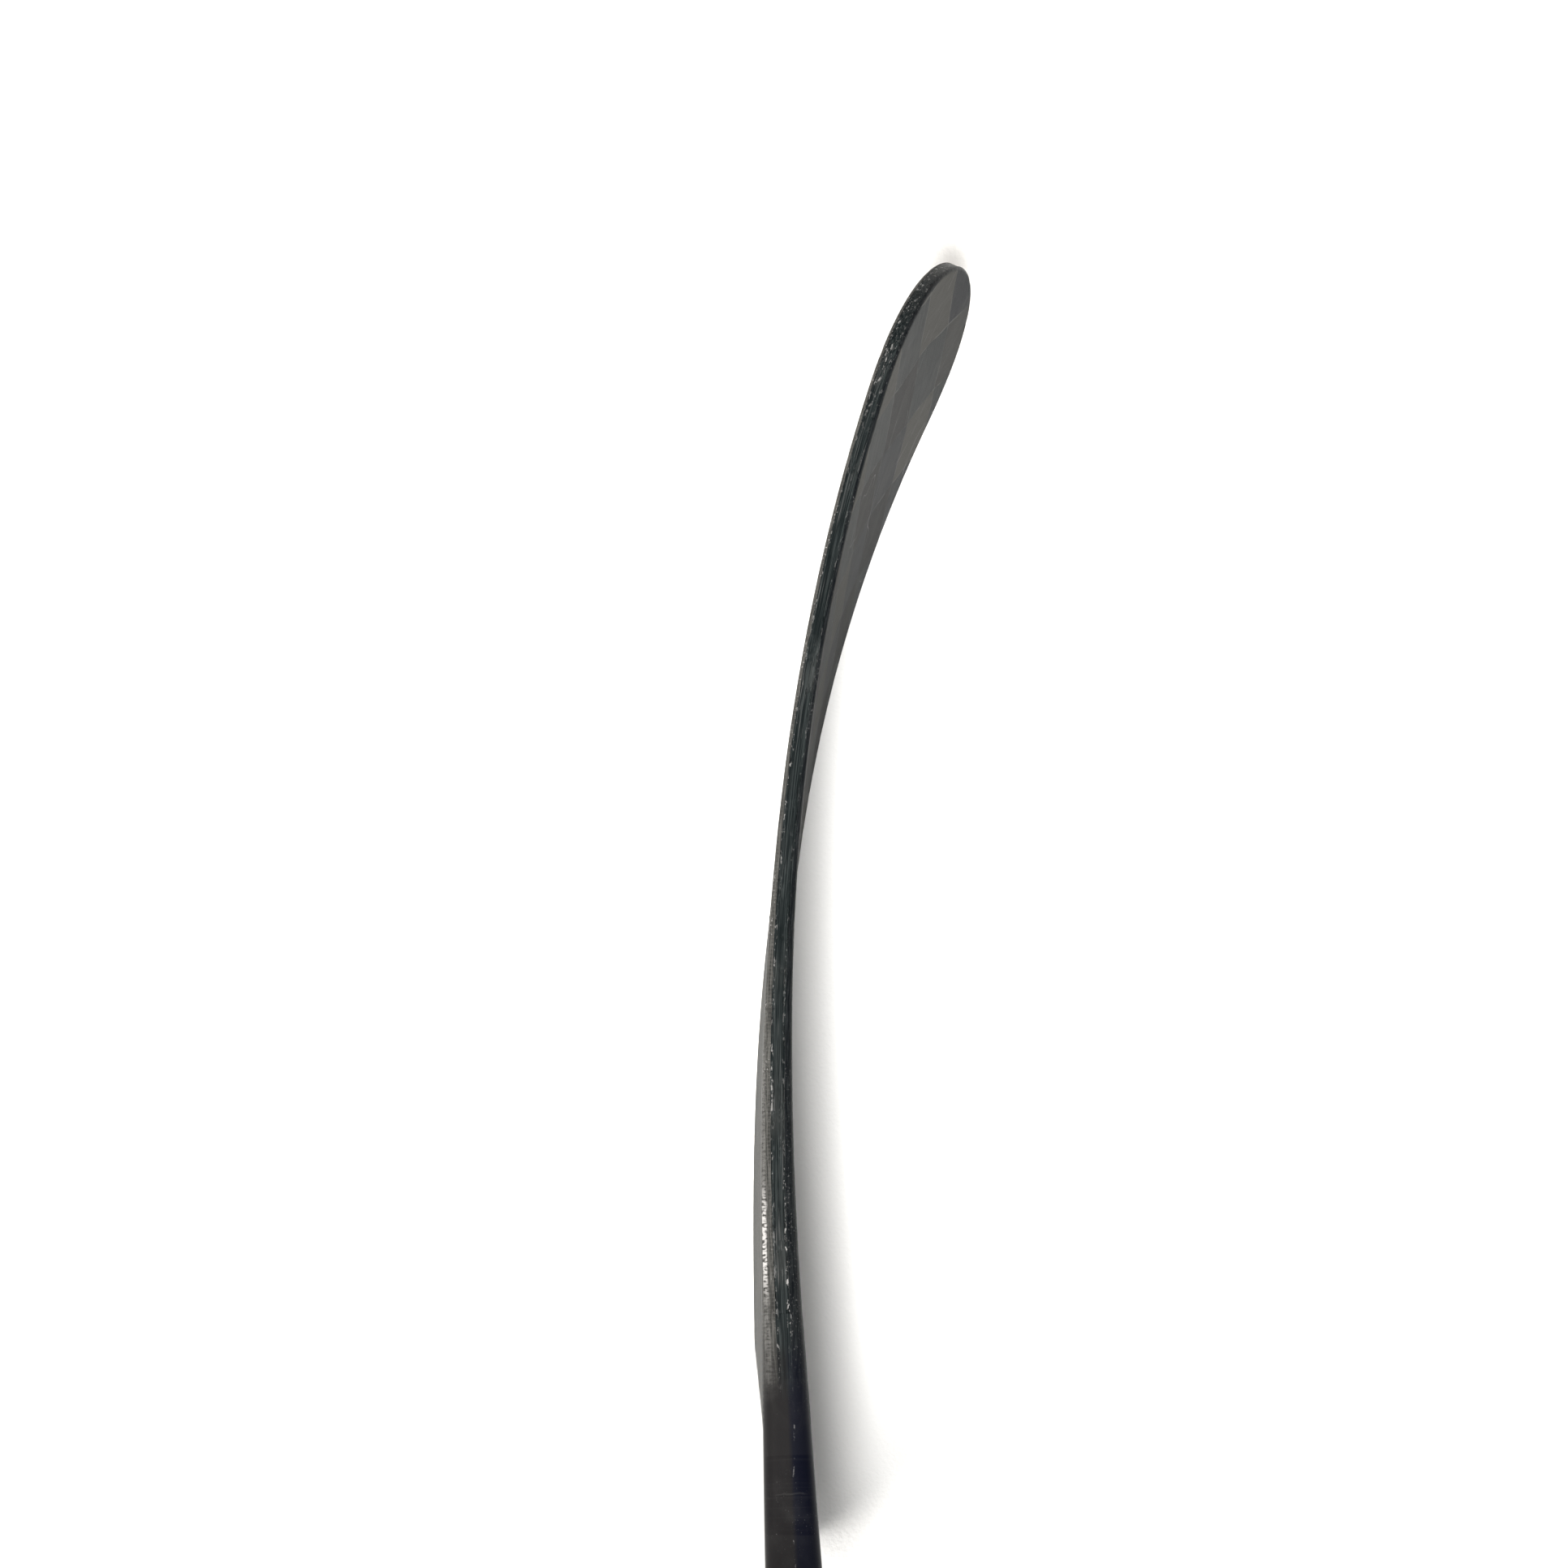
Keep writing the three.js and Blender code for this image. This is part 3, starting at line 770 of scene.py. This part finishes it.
def cell_material(name, light, dark, size, roughness):
    """Closed-cell foam."""
    graph = Graph(name)
    inputs = {"Vector": graph.place(), "Scale": 1 / size}
    cells = graph.node("ShaderNodeTexVoronoi", inputs).outputs["Distance"]
    colour = graph.mix(graph.step(cells, 0.1, 0.6), dark, light)
    return graph.finish(colour, roughness, cells, 0.1)


def fibre_material(name, light, dark, stretch, roughness):
    """Carbon laminate or moulded plastic with a lengthwise grain."""
    graph = Graph(name)
    streaks = graph.noise(graph.scaled(graph.place(), stretch), 1.0, 4.0, 0.6)
    colour = graph.mix(graph.step(streaks, 0.35, 0.7), dark, light)
    return graph.finish(colour, graph.blend(streaks, roughness, roughness + 0.15), streaks, 0.04)


def epoxy_material():
    """Cast amber epoxy with small bubbles."""
    graph = Graph("epoxy")
    inputs = {"Vector": graph.place(), "Scale": 0.6}
    bubbles = graph.node("ShaderNodeTexVoronoi", inputs).outputs["Distance"]
    colour = graph.mix(graph.step(bubbles, 0.05, 0.25), (0.55, 0.45, 0.28), (0.33, 0.24, 0.1))
    return graph.finish(colour, graph.blend(bubbles, 0.15, 0.35), bubbles, 0.05)


# ---- Settings ----

def length(name, default, description):
    return FloatProperty(name=name, default=default, min=0, unit="LENGTH", description=description)


def tint(name, default, description):
    return FloatVectorProperty(
        name=name, default=default, min=0, max=1, size=3, subtype="COLOR", description=description
    )


class StickFinish(bpy.types.PropertyGroup):
    tow: length("Tow width", 18 * MM, "Width of the flat carbon tows in the blade's weave")
    fine_tow: length("Fine tow width", 1.1 * MM, "Width of the tows in the fine weave at the heel")
    cool_tow: tint("Cool tow", (0.0120, 0.0142, 0.0150), "Tows that run forward")
    warm_tow: tint("Warm tow", (0.043, 0.0420, 0.0385), "Tows that run back")
    pale_resin: tint("Pale resin", (0.10, 0.10, 0.094), "Resin along the fibres and tow borders")
    dust: tint("Dust", (0.075, 0.075, 0.072), "Dust and dull smears")
    scratch: tint("Scratch", (0.24, 0.24, 0.24), "Fine scratches")
    # The chip colour also paints the highlight on the backhand wrap
    chip_and_highlight: tint("Chip", (0.40, 0.39, 0.385), "Small chips down to the primer")
    # The crack colour also paints the shade on the forehand face
    crack_and_shade: tint("Crack", (0.001, 0.001, 0.001), "Cracks along the edge strips")
    rim_dark: tint("Backhand wrap, dark", (0.022, 0.022, 0.021), "Skin where it wraps over the edge")
    rim_light: tint("Backhand wrap, light", (0.068, 0.067, 0.063), "Fibres in that wrap")
    # Painted shade: darker copies of the backhand wrap's colours for the forehand side
    shaded_fore_dark: tint("Forehand wrap, dark", (0.0035, 0.0045, 0.0055), "The same on the forehand side")
    shaded_fore_light: tint("Forehand wrap, light", (0.016, 0.018, 0.019), "Fibres in that wrap")
    edge_dark: tint("Edge strip, dark", (0.0045, 0.0065, 0.0070), "Edge strip")
    edge_light: tint("Edge strip, light", (0.023, 0.0275, 0.028), "Fibres in the edge strip")
    # These two are lit and shaded copies of one lacquer: the forehand side painted darker, the
    # backhand side painted lighter
    lacquer: tint("Lacquer", (0.0026, 0.0031, 0.0068), "Shaft and neck lacquer, forehand side")
    lacquer_lit_side: tint("Lacquer, warm", (0.0085, 0.0080, 0.0085), "The same on the backhand side")
    rubber: tint("Cap rubber", (0.014, 0.014, 0.014), "Butt cap")


def count(name, default, description):
    return IntProperty(name=name, default=default, min=4, description=description)


class StickShape(bpy.types.PropertyGroup):
    groove: length("Groove", 0.1 * MM, "Depth of the groove between an edge strip and the skins")
    wear: length("Edge wear", 0.25 * MM, "Depth of the nicks along the blade's edges")
    blade_columns: count("Blade columns", 420, "Mesh columns along the blade")
    blade_rows: count("Blade rows", 72, "Mesh rows across a face of the blade")
    strip_rows: count("Strip rows", 16, "Mesh rows across an edge strip")
    neck_rings: count("Neck rings", 60, "Sections along the neck")
    shaft_rings: count("Shaft rings", 90, "Sections along the shaft")
    around: count("Around", 64, "Mesh faces round the neck and shaft")


def strength(name, default, description):
    return FloatProperty(name=name, default=default, min=0, description=description)


class StickStudio(bpy.types.PropertyGroup):
    floor_size: length("Floor size", 60.0, "Width of the pale floor")
    floor_colour: tint("Floor colour", (0.89, 0.89, 0.885), "Plain pale floor")
    key: strength("Key light", 3.15, "Lights from behind the shaft")
    side: strength("Side light", 1.9, "Lights from the backhand side")
    surround: strength("Surround", 0.56, "Even light at eye level")
    sky: strength("Sky", 0.02, "Even light overhead")


# ---- Wear: nicks in a metre, level below which the edge stays whole, and seed ----
SHOULDER_NICKS = (420, 0.22, 5)
RIM_NICKS = (380, 0.2, 9)
CREST_NICKS = (350, 0.3, 2)
BORDER_NICKS = (500, 0.25, 7)
NICK_STRETCH = 0.6

# ---- Wear: share that reaches the faces, and where a rim and a strip's border begin ----
FACE_WEAR = 0.3
RIM_SHARE = 0.8
BORDER_SHARE = 0.7


def nicks(lay, depth, kind):
    """Depth of the nick at each point, zero on most of the edge."""
    count, low, seed = kind
    long = count * NICK_STRETCH
    found = [
        noise.fractal(Vector((u * long, t * count + seed, z * long)), 1.0, 2.0, 3) - low
        for u, t, z in lay
    ]
    return depth * np.clip(np.array(found) / (1 - low), 0, 1)


# ---- Blade pieces ----

def blade_attributes(piece):
    lay = straighten(coordinates(piece))
    inset = inset_from_outline(lay[:, 0], lay[:, 2])
    store(piece, "lay", lay)
    store(piece, "rim", np.stack([lay[:, 1], inset, lay[:, 0]], 1))


def along_blade(share):
    """Distance from the heel, closer together round the toe."""
    straight = BLADE_LENGTH - TOE_SPAN
    turn = np.clip((share - 1 + TOE_SHARE) / TOE_SHARE, 0, 1) * math.pi / 2
    near = NECK_END + (straight - NECK_END) * share / (1 - TOE_SHARE)
    return np.where(share < 1 - TOE_SHARE, near, straight + TOE_SPAN * np.sin(turn))


def toward_rims(share):
    """Shares across the blade, closer together at both rims."""
    side = 2 * share - 1
    return 0.5 + 0.5 * np.sign(side) * (1 - (1 - np.abs(side)) ** RIM_POWER)


def make_skin(side, name, material, node):
    """One face of the blade, which goes round both shoulders to the edge strip."""
    shape = bpy.context.scene.stick_shape
    piece, share = grid(name, shape.blade_columns, shape.blade_rows)
    u = along_blade(share[:, 0])
    low, high = outline_height(u, False), outline_height(u, True)
    z = low + (high - low) * toward_rims(share[:, 1])
    inset, radius = inset_from_outline(u, z), shoulder(u)
    down = np.clip((radius - inset) / radius, 0, 1)
    t = thickness(u) / 2 - radius * (1 - np.sqrt(1 - down**2))
    lay = np.stack([u, side * t, z], 1)
    lay[:, 1] -= side * np.clip(down, FACE_WEAR, 1) * nicks(lay, shape.wear, SHOULDER_NICKS)
    nicked = np.where(down > RIM_SHARE, nicks(lay, shape.wear, RIM_NICKS), 0)
    lay[:, 2] += np.where(z > TIP_HEIGHT, -1, 1) * nicked
    move_vertices(piece, bend(lay))
    turn_faces(piece, np.array([0, side, 0]))
    thicken(piece, SKIN)
    blade_attributes(piece)
    finish_piece(piece, material, "woven_carbon", node)


def strip_path(place, share):
    """Outline points of one strip with their inward directions, in u and z."""
    if place == "toe":
        angle = np.abs(share - 0.5) * math.pi
        upper = share < 0.5
        radius = np.where(upper, TOE_RADIUS_TOP, TOE_RADIUS_SOLE)
        u = BLADE_LENGTH - radius + radius * np.cos(angle)
        z = TIP_HEIGHT + (outline_line(u, upper) - TIP_HEIGHT) * np.sin(angle)
        return u, z, -np.cos(angle), np.where(upper, -1, 1) * np.sin(angle)
    upper = place == "top"
    u = NECK_END + (BLADE_LENGTH - (TOE_RADIUS_TOP if upper else TOE_RADIUS_SOLE) - NECK_END) * share
    return u, outline_height(u, upper), 0 * u, np.full(len(u), -1.0 if upper else 1.0)


OUTWARDS = {"top": np.array([0, 0, 1]), "toe": np.array([1, 0, 0]), "sole": np.array([0, 0, -1])}


def make_strip(place, material):
    """A bare edge strip, slightly crowned, with a fine groove along both borders."""
    shape = bpy.context.scene.stick_shape
    columns = shape.blade_columns // (2 if place == "toe" else 1)
    piece, share = grid(f"{place}_edge", columns, shape.strip_rows)
    u, z, inward_u, inward_z = strip_path(place, share[:, 0])
    side = 2 * share[:, 1] - 1
    t = side * strip_half(u)
    lay = np.stack([u, t, z], 1)
    depth = STRIP_SINK + shape.groove * np.abs(side) ** 8 + nicks(lay, shape.wear, CREST_NICKS)
    depth += np.where(np.abs(side) > BORDER_SHARE, nicks(lay, shape.wear * 2, BORDER_NICKS), 0)
    lay[:, 0] += inward_u * depth
    lay[:, 2] += inward_z * depth
    move_vertices(piece, bend(lay))
    turn_faces(piece, OUTWARDS[place])
    thicken(piece, STRIP_DEPTH - depth.max())
    blade_attributes(piece)
    finish_piece(piece, material, "edge_resin", f"{place}_edge_strip")


class STICK_OT_faces(bpy.types.Operator):
    """Adds the two woven faces of the blade"""

    bl_idname = "stick.faces"
    bl_label = "Blade Faces"

    def execute(self, context):
        material = woven_material(context.scene.stick_finish)
        make_skin(-1, "forehand_face", material, "forehand_skin")
        make_skin(1, "backhand_face", material, "backhand_skin")
        return {"FINISHED"}


class STICK_OT_edges(bpy.types.Operator):
    """Adds the dark strips along the top, toe and sole of the blade"""

    bl_idname = "stick.edges"
    bl_label = "Edge Strips"

    def execute(self, context):
        material = edge_material(context.scene.stick_finish)
        for place in OUTWARDS:
            make_strip(place, material)
        return {"FINISHED"}


# ---- Neck and shaft ----

def section_ring(share, half_depth, half_width, radius):
    """Points of rounded rectangles, each at its share of the way round: depth and width."""
    corner = np.floor(share * 4) % 4
    within = share * 4 % 1
    arc = np.clip((within - 0.5 + CORNER_SHARE / 2) / CORNER_SHARE, 0, 1)
    angle = (corner + arc) * math.pi / 2
    before = np.clip(1 - within / (0.5 - CORNER_SHARE / 2), 0, 1)
    after = np.clip((within - 0.5 - CORNER_SHARE / 2) / (0.5 - CORNER_SHARE / 2), 0, 1)
    flat_depth, flat_width = half_depth - radius, half_width - radius
    sign_depth = np.where((corner == 0) | (corner == 3), 1, -1)
    sign_width = np.where(corner < 2, 1, -1)
    even = corner % 2 == 0
    depth_share = np.where(even, 1 - after, 1 - before)
    width_share = np.where(even, 1 - before, 1 - after)
    depth = sign_depth * flat_depth * depth_share + radius * np.cos(angle)
    return depth, sign_width * flat_width * width_share + radius * np.sin(angle)


def front_ridge(side, gone, in_neck):
    """How far the front face falls away from its ridge, which fades out up the shaft."""
    if in_neck:
        place = RIDGE_FOOT + (RIDGE_HEAD - RIDGE_FOOT) * np.clip(gone / RIDGE_DRIFT, 0, 1)
        height = np.clip(gone / RIDGE_RISE, 0, 1)
    else:
        place = RIDGE_HEAD
        height = np.clip(1 - (gone - JOINT) / RIDGE_FADE, 0, 1)
    return RIDGE * height * np.abs(side - place)


def make_tube(name, rings, around, sections, material, node):
    """A hollow tube through rounded rectangular sections, open at both ends."""
    piece, share = grid(name, rings, around)
    centre, front, half_depth, half_width, radius, gone = sections(share[:, 0])
    depth, width = section_ring(share[:, 1] % 1, half_depth, half_width, radius)
    fall = front_ridge(width / half_width, gone, name == "neck")
    depth -= fall * np.clip(depth / half_depth, 0, 1) ** 4
    points = centre + front * depth[:, None] + np.array([0, 1, 0]) * width[:, None]
    move_vertices(piece, points)
    activate(piece)
    store(piece, "lay", points - HEEL)
    store(piece, "rim", np.stack([width, half_depth - depth, gone], 1))
    bpy.ops.object.mode_set(mode="EDIT")
    bpy.ops.mesh.select_all(action="SELECT")
    bpy.ops.mesh.remove_doubles(threshold=FINE_STEP)
    bpy.ops.mesh.normals_make_consistent(inside=False)
    bpy.ops.object.mode_set(mode="OBJECT")
    thicken(piece, WALL)
    finish_piece(piece, material, "painted_carbon", node)


class STICK_OT_neck(bpy.types.Operator):
    """Adds the hollow neck that joins the blade to the shaft"""

    bl_idname = "stick.neck"
    bl_label = "Neck"

    def execute(self, context):
        shape = context.scene.stick_shape
        material = neck_material(context.scene.stick_finish)
        make_tube("neck", shape.neck_rings, shape.around, neck_sections, material, "neck_shell")
        return {"FINISHED"}


class STICK_OT_shaft(bpy.types.Operator):
    """Adds the long hollow shaft"""

    bl_idname = "stick.shaft"
    bl_label = "Shaft"

    def execute(self, context):
        shape = context.scene.stick_shape
        material = lacquer_material(context.scene.stick_finish)
        top = SHAFT_LENGTH - CAP

        def sections(share):
            return shaft_sections(JOINT + (top - JOINT) * share)

        make_tube("shaft", shape.shaft_rings, shape.around, sections, material, "shaft_tube")
        return {"FINISHED"}


class STICK_OT_cap(bpy.types.Operator):
    """Adds the rubber cap on the butt"""

    bl_idname = "stick.cap"
    bl_label = "Butt Cap"

    def execute(self, context):
        piece = merged_copy("end_cap", "butt_cap")
        bevel_edges(piece, sharp_edges(piece, SHARP), CAP_BEVEL, 2)
        subdivide(piece, 1)
        co = coordinates(piece) - HEEL
        store(piece, "lay", np.stack([co @ UP_SHAFT, co[:, 1], co @ FORWARD], 1))
        finish_piece(piece, rubber_material(context.scene.stick_finish), "cap_rubber", "end_cap")
        return {"FINISHED"}


class STICK_OT_inner(bpy.types.Operator):
    """Gives the hidden cores, joint and plugs their materials"""

    bl_idname = "stick.inner"
    bl_label = "Inner Pieces"

    def execute(self, context):
        foam = cell_material("core_foam", (0.70, 0.64, 0.48), (0.55, 0.48, 0.33), 0.8, 0.85)
        soft_foam = cell_material("stopper_foam", (0.82, 0.81, 0.77), (0.66, 0.65, 0.6), 1.6, 0.9)
        light, dark = (0.055, 0.055, 0.058), (0.015, 0.015, 0.017)
        carbon = fibre_material("bare_carbon", light, dark, (0.1, 4, 4), 0.4)
        light, dark = (0.05, 0.05, 0.052), (0.02, 0.02, 0.021)
        plastic = fibre_material("plug_plastic", light, dark, (2, 2, 2), 0.5)
        epoxy = epoxy_material()
        looks = {
            "upper_core": foam,
            "lower_core": foam,
            "neck_core": foam,
            "core_bridge": carbon,
            "tenon": carbon,
            "heel_block": epoxy,
            "tenon_adhesive": epoxy,
            "shaft_stopper": soft_foam,
            "butt_plug": plastic,
        }
        for node, material in looks.items():
            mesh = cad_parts[node].data
            mesh.materials.clear()
            mesh.materials.append(material)
        return {"FINISHED"}


# ---- Studio ----

CAMERA_PLACE = (-37.9 * MM, 37.7 * MM, 900 * MM)
CAMERA_TURN = (math.radians(11.343), math.radians(-2.459), math.radians(-92.589))
CAMERA_ANGLE = math.radians(24.80)
LIGHT_ANGLE = math.radians(14)
EYE_LEVEL = 0.22
OVERHEAD = 0.36

# ---- Lights: azimuth from the toe's side towards the backhand side, elevation, strength, colour ----
LIGHTS = {
    "back_light": (180, 45, "key", 0.6, (1, 0.99, 0.97)),
    "mid_light": (160, 45, "key", 1, (1, 0.99, 0.97)),
    "high_light": (160, 60, "key", 0.85, (1, 0.99, 0.97)),
    "side_light": (120, 45, "side", 1, (1, 0.96, 0.90)),
    "low_light": (140, 30, "side", 0.8, (1, 0.96, 0.91)),
}


def sun_light(name, azimuth, elevation, energy, colour):
    """A soft distant light, shining from a direction given in degrees."""
    turn = Euler((0, math.radians(-elevation), math.radians(azimuth)))
    toward = turn.to_matrix() @ Vector((1, 0, 0))
    rotation = (-toward).to_track_quat("-Z", "Y").to_euler()
    bpy.ops.object.light_add(type="SUN", location=toward, rotation=rotation)
    light = bpy.context.object
    light.name = name
    light.data.energy = energy
    light.data.angle = LIGHT_ANGLE
    light.data.color = colour


class STICK_OT_studio(bpy.types.Operator):
    """Adds the pale floor, the soft light and the camera above the blade"""

    bl_idname = "stick.studio"
    bl_label = "Studio"

    def execute(self, context):
        studio = context.scene.stick_studio
        bpy.ops.object.select_all(action="DESELECT")
        bpy.ops.mesh.primitive_plane_add(size=studio.floor_size, location=(0, 0, CAD_BOX[0][2]))
        floor = context.object
        floor.name = "floor"
        floor.data.materials.append(self.floor_material(studio))
        for name, (azimuth, elevation, kind, share, colour) in LIGHTS.items():
            sun_light(name, azimuth, elevation, getattr(studio, kind) * share, colour)
        self.sky(context, studio)
        bpy.ops.object.camera_add(location=CAMERA_PLACE, rotation=CAMERA_TURN)
        camera = context.object
        camera.data.angle = CAMERA_ANGLE
        camera.data.clip_start = 10 * MM
        context.scene.camera = camera
        context.scene.view_settings.view_transform = "Standard"
        return {"FINISHED"}

    def floor_material(self, studio):
        graph = Graph("floor_cloth")
        weave = graph.noise(graph.place(), 0.9, 2.0)
        shade = graph.stain(studio.floor_colour, (0.7, 0.7, 0.7), weave, 0.06)
        return graph.finish(shade, 0.9, weave, 0.1, Specular_IOR_Level=0.2)

    def sky(self, context, studio):
        """An even pale surround at eye level that fades out overhead."""
        world = bpy.data.worlds.new("studio_sky")
        context.scene.world = world
        world.use_nodes = True
        nodes, links = world.node_tree.nodes, world.node_tree.links
        background = nodes["Background"]
        background.inputs["Color"].default_value = (1.0, 0.99, 0.975, 1)
        split = nodes.new("ShaderNodeSeparateXYZ")
        links.new(nodes.new("ShaderNodeTexCoord").outputs["Generated"], split.inputs["Vector"])
        fade = nodes.new("ShaderNodeMapRange")
        fade.interpolation_type = "SMOOTHSTEP"
        links.new(split.outputs["Z"], fade.inputs["Value"])
        fade.inputs["From Min"].default_value = EYE_LEVEL
        fade.inputs["From Max"].default_value = OVERHEAD
        fade.inputs["To Min"].default_value = studio.surround
        fade.inputs["To Max"].default_value = studio.sky
        links.new(fade.outputs["Result"], background.inputs["Strength"])


class STICK_PT_panel(bpy.types.Panel):
    """Lists the stick's pieces and settings"""

    bl_label = "Hockey Stick"
    bl_idname = "STICK_PT_panel"
    bl_space_type = "VIEW_3D"
    bl_region_type = "UI"
    bl_category = "Stick"

    def draw(self, context):
        for operator in OPERATORS:
            self.layout.operator(operator.bl_idname)
        scene = context.scene
        for group in (scene.stick_finish, scene.stick_shape, scene.stick_studio):
            box = self.layout.box()
            for name in group.__annotations__:
                box.prop(group, name)


OPERATORS = (
    STICK_OT_studio,
    STICK_OT_faces,
    STICK_OT_edges,
    STICK_OT_neck,
    STICK_OT_shaft,
    STICK_OT_cap,
    STICK_OT_inner,
)
CLASSES = (StickFinish, StickShape, StickStudio, *OPERATORS, STICK_PT_panel)


def register():
    for item in CLASSES:
        bpy.utils.register_class(item)
    bpy.types.Scene.stick_finish = PointerProperty(type=StickFinish)
    bpy.types.Scene.stick_shape = PointerProperty(type=StickShape)
    bpy.types.Scene.stick_studio = PointerProperty(type=StickStudio)


def unregister():
    for name in ("stick_finish", "stick_shape", "stick_studio"):
        delattr(bpy.types.Scene, name)
    for item in reversed(CLASSES):
        bpy.utils.unregister_class(item)


def main():
    register()
    bpy.ops.stick.studio()
    bpy.ops.stick.faces()
    bpy.ops.stick.edges()
    bpy.ops.stick.neck()
    bpy.ops.stick.shaft()
    bpy.ops.stick.cap()
    bpy.ops.stick.inner()


if __name__ == "__main__":
    main()
